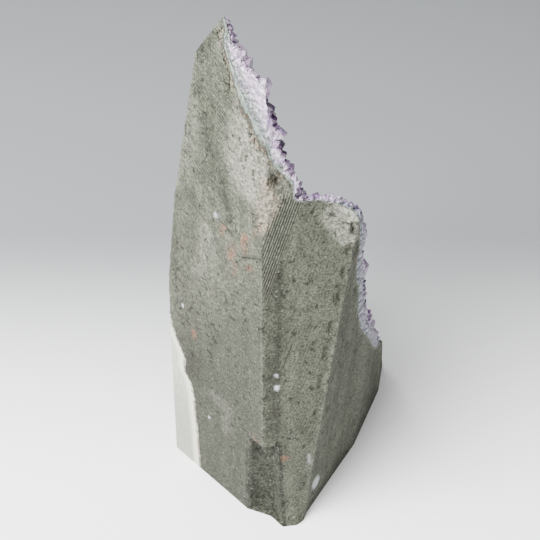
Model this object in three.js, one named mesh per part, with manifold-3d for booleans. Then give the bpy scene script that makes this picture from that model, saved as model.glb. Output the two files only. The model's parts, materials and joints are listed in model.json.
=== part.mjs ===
import * as THREE from "three";
import { mergeVertices } from "three/addons/utils/BufferGeometryUtils.js";
import Module from "manifold-3d";

// A standing piece of an amethyst geode. The back is sawn into flat faces, and the
// hollow lined with crystals leans back and faces -Y. Millimetres, +Z up.

const wasm = await Module();
wasm.setup();

// Sawn and broken faces of the block: the compass bearing that each one faces, how far it
// leans up from vertical, both in degrees, and its distance from the origin.
const faces = {
  backLow: { bearing: 99, lean: 0, reach: 46 },
  backHigh: { bearing: 97, lean: 2, reach: 49.2 },
  side: { bearing: 154.5, lean: 0, reach: 53.8 },
  darkSide: { bearing: -155, lean: -4.5, reach: 31.1 },
  darkMiddle: { bearing: -146.5, lean: -3.6, reach: 30.4 },
  darkFront: { bearing: -135.5, lean: 0, reach: 34.7 },
  flankLow: { bearing: 29, lean: 2, reach: 31 },
  flankMiddle: { bearing: 32, lean: 8, reach: 41.8 },
  flankHigh: { bearing: 35, lean: 12.5, reach: 52.8 },
  flankTop: { bearing: 38, lean: 37, reach: 119.4 },
  frontCorner: { bearing: -30.5, lean: 7, reach: 61 },
  foot: { bearing: 0, lean: -90, reach: 0 },
};
const sawn = [faces.backLow, faces.backHigh, faces.side, faces.darkSide, faces.darkMiddle, faces.darkFront];
const opening = { lean: 25, reach: 43.4 };
const halfSpaceSize = 500;

// The layers from the rock out: a gap under each, the dark rind, and the white quartz bed,
// which thickens from the sawn rim inward.
const gap = 0.3;
const rindThickness = 1.3;
const bedThickness = { rim: 1.8, inside: 4.6 };
const rimWidth = { start: 3, end: 22 };

// Dips of the rock surface, with their places along and across the slope of the opening: the
// main hollow, the notch below the tip, and the sag of the rim beside the dark faces.
const hollow = { depth: 24, start: 32, deepest: 62, fading: 120, end: 182, halfWidth: 33 };
const middleLine = { atFoot: 24, slope: -0.27 };
const tip = { x: -21.5, y: 208 };
const topHollow = { depth: 12.7, start: 148.5, full: 163, atTip: 1.7, slopeUp: 0.285, slopeAcross: 0.15 };
const sideHollow = { depth: 12.4, middle: 91, halfLength: 51 };
const skirt = { swell: 1, end: 20, gone: 44 };
const lump = { height: 0.7, width: 6.1, length: 8.3, twist: 20 };
const bedRipple = { height: 0.5, width: 3.7, length: 4.9 };

// The crystals' bed reaches from the rock skirt at the foot to the tip, x across and y up the slope.
const druseEdge = [
  [-90, 50], [-24, 46], [-12, 40], [2, 37], [14, 39], [24, 35], [34, 38], [46, 46], [90, 52],
  [90, 209], [-24, 209], [-31, 207.5], [-36, 203], [-41, 193], [-60, 184], [-90, 180],
];
const druseDepth = { below: 90, above: 30 };

const grid = { spacing: 7.5, width: 156, height: 260, depth: 200, bottom: -25, wobble: 1.65 };

const crystalSides = 6;
const crystalRadius = { rim: 2.7, inside: 7, spread: 0.2 };
const crystalSpacing = { rim: 7.4, inside: 11.6 };
const crystalStray = { across: 0.35, along: 0.25 };
const crystalShape = { root: 3, neck: 0.3, point: 1.15 };
const crystalLean = THREE.MathUtils.degToRad(24);
const crystalEdge = 0.8;
const crystalField = { bottom: 40, top: 204, side: 60 };
const largeGrowth = 0.4;

// The white agate's outline on the back face, x toward the side face and y up.
const agateEdge = [
  [-60, -5], [-1.3, -5], [-1.5, 16], [-2, 27], [-2.4, 37], [-3.6, 43.5], [-7, 48], [-6.2, 54],
  [-9, 59.5], [-12, 65], [-14.2, 75], [-60, 79],
];
const agateDepth = 9;

// Flakes broken off the ridge between the back and the side, each faced like a sawn face.
const footFlake = { bearing: 123.5, lean: -1, reach: 52.3, bottom: -10, top: 41 };
const shoulderFlake = { bearing: 130, lean: 4, reach: 65.2, bottom: 100, top: 220 };
const flakeSize = { thick: 40, wide: 60 };

const colours = {
  basalt: 0x93958b,
  rind: 0x6f7462,
  amethyst: 0x8f8695,
  agate: 0xcccdc5,
};

// Random numbers that come out the same every time.
let seed = 27;
function random() {
  seed = (seed * 16807) % 2147483647;
  return seed / 2147483647;
}

function jitter(amount) {
  return (random() * 2 - 1) * amount;
}

const smooth = THREE.MathUtils.smoothstep;

function toSolid(geometry) {
  geometry.deleteAttribute("normal");
  geometry.deleteAttribute("uv");
  const merged = mergeVertices(geometry, 1e-4);
  return new wasm.Manifold(new wasm.Mesh({
    numProp: 3,
    vertProperties: merged.attributes.position.array,
    triVerts: new Uint32Array(merged.index.array),
  }));
}

function toMesh(name, solid, material) {
  const raw = solid.getMesh();
  const geometry = new THREE.BufferGeometry();
  geometry.setAttribute("position", new THREE.BufferAttribute(raw.vertProperties, 3));
  geometry.setIndex(new THREE.BufferAttribute(raw.triVerts, 1));
  const mesh = new THREE.Mesh(geometry, new THREE.MeshStandardMaterial(material));
  mesh.name = name;
  return mesh;
}

// The biggest shell alone, without the specks and the closed pockets between crystals.
function outerShell(solid) {
  return solid.decompose().reduce((biggest, shell) => (shell.volume() > biggest.volume() ? shell : biggest));
}

function facing({ bearing, lean }) {
  const turn = THREE.MathUtils.degToRad(bearing);
  const rise = THREE.MathUtils.degToRad(lean);
  return new THREE.Vector3(Math.cos(turn) * Math.cos(rise), Math.sin(turn) * Math.cos(rise), Math.sin(rise));
}

// All that lies behind one flat face, as a big box with a side on it.
function behind(face) {
  const normal = facing(face);
  const box = new THREE.BoxGeometry(halfSpaceSize, halfSpaceSize, halfSpaceSize);
  box.translate(0, 0, -halfSpaceSize / 2);
  const turn = new THREE.Quaternion().setFromUnitVectors(new THREE.Vector3(0, 0, 1), normal);
  box.applyQuaternion(turn);
  box.translate(normal.x * face.reach, normal.y * face.reach, normal.z * face.reach);
  return toSolid(box);
}

function makeBlock() {
  return Object.values(faces).map(behind).reduce((block, half) => block.intersect(half));
}

// The opening's own frame: x across it, y up along its slope, z out of it.
const toOpening = new THREE.Matrix4()
  .makeTranslation(0, -opening.reach / Math.cos(THREE.MathUtils.degToRad(opening.lean)), 0)
  .multiply(new THREE.Matrix4().makeRotationX(THREE.MathUtils.degToRad(90 - opening.lean)));

function inOpening(x, y, z) {
  return new THREE.Vector3(x, y, z).applyMatrix4(toOpening);
}

// How deep a point lies inside the nearest of some faces.
function depthBehind(chosen, spot) {
  return Math.min(...chosen.map((face) => face.reach - facing(face).dot(spot)));
}

// Height of the rock surface under the crystals, measured out from the plane of the opening.
function rockHeight(x, y) {
  const belowTip = Math.max(0, tip.y - y) * topHollow.slopeUp;
  const besideTip = Math.max(0, tip.x - x) * topHollow.slopeAcross;
  const top = Math.min(topHollow.depth, topHollow.atTip + belowTip + besideTip)
    * smooth(y, topHollow.start, topHollow.full);
  const side = sideHollow.depth * Math.max(0, 1 - ((y - sideHollow.middle) / sideHollow.halfLength) ** 2);
  const across = (x - middleLine.atFoot - middleLine.slope * y) / hollow.halfWidth;
  const bowl = hollow.depth * Math.max(0, 1 - across ** 2)
    * smooth(y, hollow.start, hollow.deepest) * (1 - smooth(y, hollow.fading, hollow.end));
  const swell = skirt.swell * (1 - smooth(y, skirt.end, skirt.gone));
  const lumps = Math.sin(x / lump.width + y / lump.twist) * Math.sin(y / lump.length - x / lump.twist);
  return swell - top - side - bowl + lumps * (lump.height + swell);
}

// How large the crystals grow: 0 on the sawn rim, 1 well inside the hollow.
function growth(x, y) {
  return smooth(depthBehind(sawn, inOpening(x, y, rockHeight(x, y))), rimWidth.start, rimWidth.end);
}

function rindHeight(x, y) {
  return rockHeight(x, y) + rindThickness;
}

function bedHeight(x, y) {
  const bed = THREE.MathUtils.lerp(bedThickness.rim, bedThickness.inside, growth(x, y));
  const ripple = Math.sin(x / bedRipple.width) * Math.sin(y / bedRipple.length) * bedRipple.height;
  return rindHeight(x, y) + bed + ripple;
}

// All that lies below a surface given by its height over the opening's plane, as a box whose
// front is a loose grid of triangles.
function under(heightAt, lift) {
  const columns = Math.round(grid.width / grid.spacing);
  const rows = Math.round(grid.height / grid.spacing);
  const field = new THREE.BoxGeometry(grid.width, grid.height, grid.depth, columns, rows, 1);
  field.translate(0, grid.height / 2 + grid.bottom, 0);
  const points = field.attributes.position;
  for (let i = 0; i < points.count; i += 1) {
    const x = points.getX(i) + Math.sin(points.getY(i) * 12.9 + points.getX(i) * 7.1) * grid.wobble;
    const y = points.getY(i) + Math.sin(points.getX(i) * 9.7 - points.getY(i) * 5.3) * grid.wobble;
    const z = points.getZ(i) > 0 ? heightAt(x, y) + lift : -grid.depth;
    points.setXYZ(i, x, y, z);
  }
  field.applyMatrix4(toOpening);
  return toSolid(field);
}

// A flat outline given a thickness, standing on z = bottom of its own frame.
function thickOutline(edge, bottom, thickness, frame) {
  const shape = new THREE.Shape(edge.map(([x, y]) => new THREE.Vector2(x, y)));
  const slab = new THREE.ExtrudeGeometry(shape, { depth: thickness, bevelEnabled: false });
  slab.translate(0, 0, bottom);
  slab.applyMatrix4(frame);
  return toSolid(slab);
}

// One quartz point: a six-sided prism under a six-sided pyramid, rooted below the bed.
function crystal(x, y, radius) {
  const neck = crystalShape.root + radius * crystalShape.neck;
  const profile = [[0, 0], [radius, 0], [radius, neck], [0, neck + radius * crystalShape.point]]
    .map(([r, z]) => new THREE.Vector2(r, z));
  const point = new THREE.LatheGeometry(profile, crystalSides);
  point.rotateX(Math.PI / 2);
  point.rotateZ(random() * Math.PI);
  point.translate(0, 0, -crystalShape.root);
  point.rotateX(jitter(crystalLean));
  point.rotateY(jitter(crystalLean));
  point.translate(x, y, bedHeight(x, y));
  point.applyMatrix4(toOpening);
  return toSolid(point);
}

// Quartz points on a loose grid, wherever the growth lies within a range.
function growCrystals(spacing, least, most) {
  const points = [];
  const rowStep = spacing * Math.sin(Math.PI / 3);
  for (let y = crystalField.bottom; y < crystalField.top; y += rowStep) {
    for (let x = -crystalField.side; x < crystalField.side; x += spacing) {
      const across = x + jitter(spacing * crystalStray.across);
      const along = y + jitter(spacing * crystalStray.along);
      const size = growth(across, along);
      const radius = THREE.MathUtils.lerp(crystalRadius.rim, crystalRadius.inside, size);
      const spot = inOpening(across, along, bedHeight(across, along));
      if (size >= least && size < most && depthBehind(Object.values(faces), spot) > crystalEdge) {
        points.push(crystal(across, along, radius * (1 + jitter(crystalRadius.spread))));
      }
    }
  }
  return points;
}

// The white agate at the foot of the back, reaching round the corner into the flank.
function agateCutter(grow) {
  const edge = agateEdge.map(([x, y]) => [x + grow, y > 0 ? y + grow : y]);
  const normal = facing(faces.backLow);
  const up = new THREE.Vector3(0, 0, 1);
  const along = new THREE.Vector3().crossVectors(up, normal);
  const onBack = new THREE.Matrix4().makeBasis(along, up, normal);
  return thickOutline(edge, faces.backLow.reach - agateDepth - grow, agateDepth * 2, onBack);
}

// The room of a broken flake, as a turned box.
function flake({ bearing, lean, reach, bottom, top }) {
  const box = new THREE.BoxGeometry(flakeSize.thick, flakeSize.wide, top - bottom);
  box.translate(reach + flakeSize.thick / 2, 0, (bottom + top) / 2);
  box.rotateY(THREE.MathUtils.degToRad(-lean));
  box.rotateZ(THREE.MathUtils.degToRad(bearing));
  return toSolid(box);
}

const block = makeBlock();
const druse = thickOutline(druseEdge, -druseDepth.below, druseDepth.below + druseDepth.above, toOpening);
const rock = under(rockHeight, 0);
const rind = under(rindHeight, 0);
const bed = under(bedHeight, 0);

const basaltMatrix = block
  .intersect(rock)
  .subtract(agateCutter(gap))
  .subtract(flake(footFlake))
  .subtract(flake(shoulderFlake));

const celadoniteRind = rind
  .subtract(under(rockHeight, gap))
  .intersect(block)
  .intersect(druse);

const crystals = [
  ...growCrystals(crystalSpacing.inside, largeGrowth, Infinity),
  ...growCrystals(crystalSpacing.rim, 0, largeGrowth),
];

const amethystCrust = outerShell(crystals
  .reduce((joined, point) => joined.add(point), bed)
  .subtract(under(rindHeight, gap))
  .intersect(block)
  .intersect(druse));

const agatePatch = block.intersect(agateCutter(0));

const geode = new THREE.Group();
geode.add(toMesh("basalt_matrix", basaltMatrix, { color: colours.basalt, roughness: 0.9, metalness: 0 }));
geode.add(toMesh("celadonite_rind", celadoniteRind, { color: colours.rind, roughness: 0.7, metalness: 0 }));
geode.add(toMesh("amethyst_crust", amethystCrust, { color: colours.amethyst, roughness: 0.1, metalness: 0 }));
geode.add(toMesh("agate_patch", agatePatch, { color: colours.agate, roughness: 0.45, metalness: 0 }));

// The origin is under the middle of the geode.
const middle = new THREE.Box3().setFromObject(geode).getCenter(new THREE.Vector3());
geode.position.set(-middle.x, -middle.y, 0);

export default geode;
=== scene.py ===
import json
import math

import bpy
import numpy as np
from mathutils import Matrix, Vector, noise

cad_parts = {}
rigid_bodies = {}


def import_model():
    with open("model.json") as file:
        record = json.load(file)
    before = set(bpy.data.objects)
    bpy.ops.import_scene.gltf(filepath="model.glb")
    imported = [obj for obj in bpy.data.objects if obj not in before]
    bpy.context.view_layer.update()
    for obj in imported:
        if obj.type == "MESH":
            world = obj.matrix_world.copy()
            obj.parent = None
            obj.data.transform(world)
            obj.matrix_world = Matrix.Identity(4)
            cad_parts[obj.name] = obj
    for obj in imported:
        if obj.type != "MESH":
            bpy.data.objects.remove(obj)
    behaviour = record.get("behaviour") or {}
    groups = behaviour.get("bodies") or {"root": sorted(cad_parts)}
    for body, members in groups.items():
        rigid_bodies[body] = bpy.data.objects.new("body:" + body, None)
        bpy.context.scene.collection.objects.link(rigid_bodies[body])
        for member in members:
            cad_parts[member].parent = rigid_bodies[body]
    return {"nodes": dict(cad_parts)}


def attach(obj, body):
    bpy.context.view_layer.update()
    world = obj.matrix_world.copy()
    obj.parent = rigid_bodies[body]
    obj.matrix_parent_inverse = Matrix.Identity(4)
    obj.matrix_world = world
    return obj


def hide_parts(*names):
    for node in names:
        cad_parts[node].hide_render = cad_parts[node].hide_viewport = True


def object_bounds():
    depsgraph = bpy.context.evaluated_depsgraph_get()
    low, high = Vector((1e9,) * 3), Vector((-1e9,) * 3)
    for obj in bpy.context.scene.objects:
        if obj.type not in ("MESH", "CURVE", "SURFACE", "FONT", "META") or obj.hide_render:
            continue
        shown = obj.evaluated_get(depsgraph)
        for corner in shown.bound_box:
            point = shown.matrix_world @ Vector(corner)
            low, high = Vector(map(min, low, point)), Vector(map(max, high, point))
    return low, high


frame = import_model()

# A standing piece of an amethyst geode: a basalt block sawn flat at the back, and a leaning
# hollow in front lined with quartz points. Sizes are in mm and are turned to metres here.
mm = 0.001
cadLow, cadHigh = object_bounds()
middle = np.array([-0.032, 1.138, 0.0])   # the faces' distances are measured from here
luck = np.random.default_rng(27)


def hexColour(code):
    # sRGB hex to the linear colour that the shaders want
    parts = [int(code[i:i + 2], 16) / 255 for i in (1, 3, 5)]
    return tuple(c / 12.92 if c <= 0.04045 else ((c + 0.055) / 1.055) ** 2.4 for c in parts) + (1,)


def makeActive(piece):
    bpy.ops.object.select_all(action="DESELECT")
    piece.select_set(True)
    bpy.context.view_layer.objects.active = piece


def applyModifier(piece, kind, **settings):
    makeActive(piece)
    bpy.ops.object.modifier_add(type=kind)
    modifier = piece.modifiers[-1]
    for name, value in settings.items():
        setattr(modifier, name, value)
    bpy.ops.object.modifier_apply(modifier=modifier.name)


def cutWith(piece, cutter, operation, keep=False):
    applyModifier(piece, "BOOLEAN", operation=operation, solver="MANIFOLD", object=cutter)
    if not keep:
        bpy.data.objects.remove(cutter)


def readPoints(piece):
    flat = np.empty(len(piece.data.vertices) * 3, np.float32)
    piece.data.vertices.foreach_get("co", flat)
    return flat.reshape(-1, 3).astype(float) / mm


def writePoints(piece, points):
    piece.data.vertices.foreach_set("co", (points * mm).astype(np.float32).ravel())
    piece.data.update()


def readNormals(piece):
    flat = np.empty(len(piece.data.vertices) * 3, np.float32)
    piece.data.vertices.foreach_get("normal", flat)
    return flat.reshape(-1, 3).astype(float)


def paint(piece, name, values):
    # one number for each vertex, which the material reads by name
    layer = piece.data.attributes.get(name) or piece.data.attributes.new(name, "FLOAT", "POINT")
    layer.data.foreach_set("value", np.asarray(values, np.float32))


def smooth(value, low, high):
    share = np.clip((value - low) / (high - low), 0, 1)
    return share * share * (3 - 2 * share)


def grain(points, size, seed=0.0):
    # soft noise from -1 to 1 with lumps of about that size
    shift = Vector((seed, seed * 1.7, seed * 0.3))
    return np.array([noise.noise(Vector(p) / size + shift) for p in points.tolist()])


def nearLine(points, start, end):
    # distance from each point to a straight stretch
    start, end = np.array(start, float), np.array(end, float)
    run = end - start
    share = np.clip((points - start) @ run / max(run @ run, 1e-9), 0, 1)
    return np.linalg.norm(points - start - share[:, None] * run, axis=1)


# compass bearing each face looks to, its lean up from vertical, its distance from the middle
faces = {
    "backLow": (99, 0, 46), "backHigh": (97, 2, 49.2), "side": (154.5, 0, 53.8),
    "darkSide": (-155, -4.5, 31.1), "darkMiddle": (-146.5, -3.6, 30.4), "darkFront": (-135.5, 0, 34.7),
    "flankLow": (29, 2, 31), "flankMiddle": (32, 8, 41.8), "flankHigh": (35, 12.5, 52.8),
    "flankTop": (38, 37, 119.4), "frontCorner": (-30.5, 7, 61), "foot": (0, -90, 0),
}
darkCuts = ["darkSide", "darkMiddle", "darkFront"]
sawnFaces = ["backLow", "backHigh", "side"] + darkCuts
flakes = {
    "footFlake": {"face": (123.5, -1, 52.3), "bottom": -10, "top": 41},
    "shoulderFlake": {"face": (130, 4, 65.2), "bottom": 100, "top": 220},
}


def facing(face):
    bearing, lean = math.radians(face[0]), math.radians(face[1])
    return np.array([math.cos(bearing) * math.cos(lean), math.sin(bearing) * math.cos(lean), math.sin(lean)])


def alongFace(face):
    # the level direction along a face
    bearing = math.radians(face[0])
    return np.array([-math.sin(bearing), math.cos(bearing), 0])


def depthBehind(names, points):
    # how far in from the nearest of these faces
    return np.min([faces[n][2] - (points - middle) @ facing(faces[n]) for n in names], axis=0)


# the opening's own frame: x across it, y up its slope, z out of it
opening = {"lean": 25, "reach": 43.4}
slopeTurn = Matrix.Rotation(math.radians(90 - opening["lean"]), 4, "X")
slopeStart = middle + np.array([0, -opening["reach"] / math.cos(math.radians(opening["lean"])), 0])
toOpening = Matrix.Translation(Vector(slopeStart * mm)) @ slopeTurn
slopeAxes = np.array(slopeTurn.to_3x3())


def fromSlope(x, y, z):
    return np.stack([x, y, z], axis=-1) @ slopeAxes.T + slopeStart


def onSlope(points):
    return (points - slopeStart) @ slopeAxes


# the sawn rim: x and y over the opening, and how far the rock stands off the plain shape
rim = np.array([
    (-21.4, 207.9, 1.0), (-22.6, 200.6, 0), (-25.2, 196.2, -0.3), (-26.9, 192.8, -0.9), (-29.4, 190.4, -0.6),
    (-31.5, 187.5, -1.1), (-34.5, 184.5, -0.4), (-37.9, 181.5, 0.2), (-41.3, 176.7, 0.9), (-42.7, 171.6, 2.5),
    (-43.9, 167.0, 3.4), (-45.2, 159.6, 1.9), (-47.4, 158.0, 3.8), (-49.6, 154.8, 2.0), (-50.8, 151.8, -0.2),
    (-52.4, 147.5, 0), (-51.7, 141.7, -0.6), (-50.1, 132.9, 0.3), (-50.0, 128.7, -1.1), (-48.7, 121.8, -0.6),
    (-46.3, 111.8, 1.4), (-45.2, 104.6, 0.8), (-43.2, 95.8, 0.6), (-40.9, 87.1, 0), (-35.1, 70.5, 0),
    (-25.8, 50.6, -0.6)])


def rimLift(x, y):
    apart = np.hypot(x[:, None] - rim[:, 0], y[:, None] - rim[:, 1])
    weight = 1 / (apart ** 2 + 2) ** 2
    return (weight @ rim[:, 2]) / weight.sum(axis=1) * (1 - smooth(apart.min(axis=1), 5, 14))


# how deep the rock under the crystals lies: at the tip, the sag at the dark side, the hollow itself,
# and how far it falls away behind the rim
hollow = {"notch": 12.7, "sag": 12.4, "bowl": 24, "sideFall": 7, "backFall": 3.2}


def rockBase(x, y):
    belowTip = np.maximum(0, 208 - y) * 0.285
    besideTip = np.maximum(0, -21.5 - x) * 0.15
    top = np.minimum(hollow["notch"], 1.7 + belowTip + besideTip) * smooth(y, 148.5, 163)
    side = hollow["sag"] * np.maximum(0, 1 - ((y - 91) / 51) ** 2)
    across = (x - 24 + 0.27 * y) / 33
    bowl = hollow["bowl"] * np.maximum(0, 1 - across ** 2) * smooth(y, 32, 62) * (1 - smooth(y, 120, 182))
    swell = 1 - smooth(y, 20, 44)
    lumps = np.sin(x / 6.1 + y / 20) * np.sin(y / 8.3 - x / 20)
    base = swell - top - side - bowl + lumps * (0.7 + swell) + rimLift(x, y)
    places = fromSlope(x, y, base)
    depth = depthBehind(["side", "darkSide"], places)
    sideFall = smooth(depth, 0.3, 9) * (1 - smooth(depth, 12, 22))
    sideFall = sideFall * smooth(y, 112, 130) * (1 - smooth(y, 162, 170))
    backFall = smooth(depthBehind(["backHigh"], places), 0.8, 8) * smooth(y, 168, 178)
    return base - hollow["sideFall"] * sideFall * (1 - smooth(x, -41, -35)) - hollow["backFall"] * backFall


def growth(x, y):
    # 0 near the sawn rim, 1 well inside the hollow
    return smooth(depthBehind(sawnFaces, fromSlope(x, y, rockBase(x, y))), 6, 28)


def flatGrain(x, y, size, seed):
    return grain(np.stack([x, y, np.zeros_like(x)], axis=-1), size, seed)


# the grid over the opening, then the rock, the rind and the quartz bed on it, in mm
layers = {
    "width": 134, "height": 236, "start": -22, "spacing": 1.15, "overlap": 0.15,
    "rockRough": 0.62, "rindThick": 0.9, "bedRim": 1.15, "bedInside": 5.6, "bedAtDark": 1.7,
    "bedUnderTip": 1.7, "bedRough": 0.6, "fadeAtFoot": 9,
}
# the crust's lower edge over the opening: x, then y
footEdge = ([-90, -24, -12, 2, 14, 24, 34, 46, 90], [50, 46, 40, 37, 39, 35, 38, 46, 52])


def tipShare(y):
    return smooth(y, 190, 204)


def footFade(x, y):
    # the crust thins out towards its ragged lower edge, and a little at the tip
    foot = smooth(y - np.interp(x, *footEdge) - 2 + flatGrain(x, y, 5, 3) * 2.5, 0, layers["fadeAtFoot"])
    return foot * (1 - 0.65 * smooth(y, 198, 208))


def rockHeight(x, y):
    rough = layers["rockRough"] * (flatGrain(x, y, 5.5, 1) + 0.6 * flatGrain(x, y, 2.4, 2))
    return rockBase(x, y) + rough * (1 - 0.7 * lowRim(x, y)) + 0.7 * tipShare(y)


def darkRim(x, y):
    depth = depthBehind(darkCuts, fromSlope(x, y, rockBase(x, y)))
    return (1 - smooth(depth, 5, 16)) * (1 - smooth(y, 140, 150))


def lowRim(x, y):
    # 1 along the side's saw cut, where the crust is thin and its points are small, less on the dark cuts
    depth = depthBehind(["side"], fromSlope(x, y, rockBase(x, y)))
    side = (1 - smooth(depth, 9, 26)) * (1 - smooth(y - 0.25 * x, 172, 184)) * smooth(y, 132, 142)
    return np.maximum(side, 0.35 * darkRim(x, y))


def rindHeight(x, y):
    thick = layers["rindThick"] * (1 + 0.5 * flatGrain(x, y, 3.5, 4))
    return rockHeight(x, y) + thick * (1 - 0.55 * tipShare(y)) * (1 - 0.6 * lowRim(x, y))


def rindFoot(x, y):
    # each layer starts a little inside the one below, so that no gap opens between them
    return rockHeight(x, y) - layers["overlap"]


def crustFoot(x, y):
    return rindHeight(x, y) - layers["overlap"]


def farBelow(x, y):
    return np.full(len(x), -200.0)


def bedThickness(x, y):
    # thin on the sawn rim, thicker into the hollow
    depth = depthBehind(sawnFaces, fromSlope(x, y, rockBase(x, y)))
    full = layers["bedRim"] + (layers["bedInside"] - layers["bedRim"]) * smooth(depth, 9, 28)
    underTip = smooth(y, 172, 184) * (1 - smooth(y, 194, 203))
    full = full * (1 - 0.8 * lowRim(x, y))
    return full + layers["bedAtDark"] * darkRim(x, y) + layers["bedUnderTip"] * underTip


def bedHeight(x, y):
    ripple = layers["bedRough"] * (flatGrain(x, y, 4, 5) + 0.6 * flatGrain(x, y, 1.7, 6))
    fade = footFade(x, y)
    return rindHeight(x, y) + np.maximum(0.15, (bedThickness(x, y) + ripple) * fade - 0.5 * (1 - fade))


def layerBetween(name, lowerAt, upperAt):
    # a grid extruded once, its two sheets then laid on two heights over the opening
    width, height = layers["width"], layers["height"]
    bpy.ops.mesh.primitive_grid_add(x_subdivisions=int(width / layers["spacing"]),
                                    y_subdivisions=int(height / layers["spacing"]), size=1)
    piece = bpy.context.object
    piece.name = name
    bpy.ops.object.mode_set(mode="EDIT")
    bpy.ops.mesh.select_all(action="SELECT")
    bpy.ops.mesh.extrude_region_move(TRANSFORM_OT_translate={"value": (0, 0, 1)})
    bpy.ops.mesh.select_all(action="SELECT")
    bpy.ops.mesh.normals_make_consistent(inside=False)
    bpy.ops.object.mode_set(mode="OBJECT")
    raw = readPoints(piece) * mm
    x, y = raw[:, 0] * width, raw[:, 1] * height + height / 2 + layers["start"]
    z = np.zeros(len(x))
    upper = raw[:, 2] > 0.5
    z[upper] = upperAt(x[upper], y[upper])
    z[~upper] = lowerAt(x[~upper], y[~upper])
    writePoints(piece, fromSlope(x, y, z))
    return piece


def sawnBlock(name):
    # a big cube cut down by one bisect for each face
    bpy.ops.mesh.primitive_cube_add(size=0.5, location=(0, 0, 0.1))
    piece = bpy.context.object
    piece.name = name
    bpy.ops.object.transform_apply(location=True, rotation=False, scale=False)
    bpy.ops.object.mode_set(mode="EDIT")
    for face in faces.values():
        normal = facing(face)
        spot = (middle + normal * face[2]) * mm
        bpy.ops.mesh.select_all(action="SELECT")
        bpy.ops.mesh.bisect(plane_co=spot, plane_no=normal, use_fill=True, clear_outer=True)
    bpy.ops.mesh.select_all(action="SELECT")
    bpy.ops.mesh.normals_make_consistent(inside=False)
    bpy.ops.object.mode_set(mode="OBJECT")
    return piece


def flakeRoom(name, flake):
    # the room that a broken flake left, as a turned box
    bearing, lean, reach = flake["face"]
    bpy.ops.mesh.primitive_cube_add(size=1)
    piece = bpy.context.object
    piece.name = name
    tall = flake["top"] - flake["bottom"]
    box = Matrix.Translation(((reach + 20) * mm, 0, (flake["bottom"] + flake["top"]) / 2 * mm))
    box = box @ Matrix.Diagonal((40 * mm, 60 * mm, tall * mm, 1))
    turn = Matrix.Rotation(math.radians(bearing), 4, "Z") @ Matrix.Rotation(math.radians(-lean), 4, "Y")
    piece.data.transform(Matrix.Translation(Vector(middle * mm)) @ turn @ box)
    return piece


# the crust's upper edge over the opening: x, then y
druseTop = ([-90, -60, -41, -36, -31, -24, 90], [180, 184, 193, 203, 207.5, 209, 209])


def druseRoom(name):
    # a slab between the crust's two edges, from 90 mm under the opening to 30 mm over it
    edge = list(zip(*footEdge)) + list(zip(*druseTop))[::-1]
    bpy.ops.mesh.primitive_circle_add(vertices=len(edge), radius=1, fill_type="NGON")
    piece = bpy.context.object
    piece.name = name
    corners = np.array([(x, y, -90) for x, y in edge], float)
    writePoints(piece, corners)
    bpy.ops.object.mode_set(mode="EDIT")
    bpy.ops.mesh.select_all(action="SELECT")
    bpy.ops.mesh.extrude_region_move(TRANSFORM_OT_translate={"value": (0, 0, 120 * mm)})
    bpy.ops.mesh.select_all(action="SELECT")
    bpy.ops.mesh.normals_make_consistent(inside=False)
    bpy.ops.object.mode_set(mode="OBJECT")
    piece.data.transform(toOpening)
    return piece


def cadCopy(node, name):
    # a merged copy of a solid, with no material and no tie to the solid itself
    mesh = frame["nodes"][node].data.copy()
    mesh.materials.clear()
    piece = bpy.data.objects.new(name, mesh)
    bpy.context.scene.collection.objects.link(piece)
    makeActive(piece)
    bpy.ops.object.mode_set(mode="EDIT")
    bpy.ops.mesh.select_all(action="SELECT")
    bpy.ops.mesh.remove_doubles(threshold=0.00001)
    bpy.ops.object.mode_set(mode="OBJECT")
    return piece


def addPiece(piece, material, node):
    piece.data.materials.clear()
    piece.data.materials.append(material)
    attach(piece, "root")
    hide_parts(node)


def triangles(piece):
    return sum(len(p.vertices) - 2 for p in piece.data.polygons)


def addNode(tree, kind, inputs=None, **settings):
    node = tree.nodes.new("ShaderNode" + kind)
    for name, value in settings.items():
        setattr(node, name, value)
    for name, value in (inputs or {}).items():
        if isinstance(value, bpy.types.NodeSocket):
            tree.links.new(value, node.inputs[name])
        else:
            node.inputs[name].default_value = value
    return node


def newMaterial(name):
    material = bpy.data.materials.new(name)
    material.use_nodes = True
    tree = material.node_tree
    return material, tree, tree.nodes["Principled BSDF"]


def mixColour(tree, share, first, second):
    return addNode(tree, "Mix", {0: share, 6: first, 7: second}, data_type="RGBA").outputs[2]


def cover(tree, colour, share, code):
    # that share of another colour laid over the first
    return mixColour(tree, share, colour, hexColour(code))


def readPaint(tree, name):
    return addNode(tree, "Attribute", attribute_name=name).outputs["Fac"]


def reckon(tree, how, first, second=0.0, third=0.0):
    return addNode(tree, "Math", {0: first, 1: second, 2: third}, operation=how).outputs[0]


def times(tree, first, second):
    return reckon(tree, "MULTIPLY", first, second)


def howFar(tree, vector, direction):
    return addNode(tree, "VectorMath", {0: vector, 1: direction}, operation="DOT_PRODUCT").outputs["Value"]


def band(tree, value, low, high, lowOut=0.0, highOut=1.0):
    return addNode(tree, "MapRange", {"Value": value, "From Min": low, "From Max": high,
                                      "To Min": lowOut, "To Max": highOut}).outputs[0]


# camera at the photo's own angle, and soft studio light from the left
view = {"eye": (-0.23301, 0.17035, 0.2981), "aim": (0.08173, -0.04551, 0), "lens": 66.67}
bpy.ops.object.camera_add(location=view["eye"])
camera = bpy.context.object
camera.data.lens = view["lens"]
camera.data.sensor_width = 36
camera.data.clip_start = 0.01
camera.rotation_euler = (Vector(view["aim"]) - Vector(view["eye"])).to_track_quat("-Z", "Y").to_euler()
bpy.context.scene.camera = camera


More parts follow.
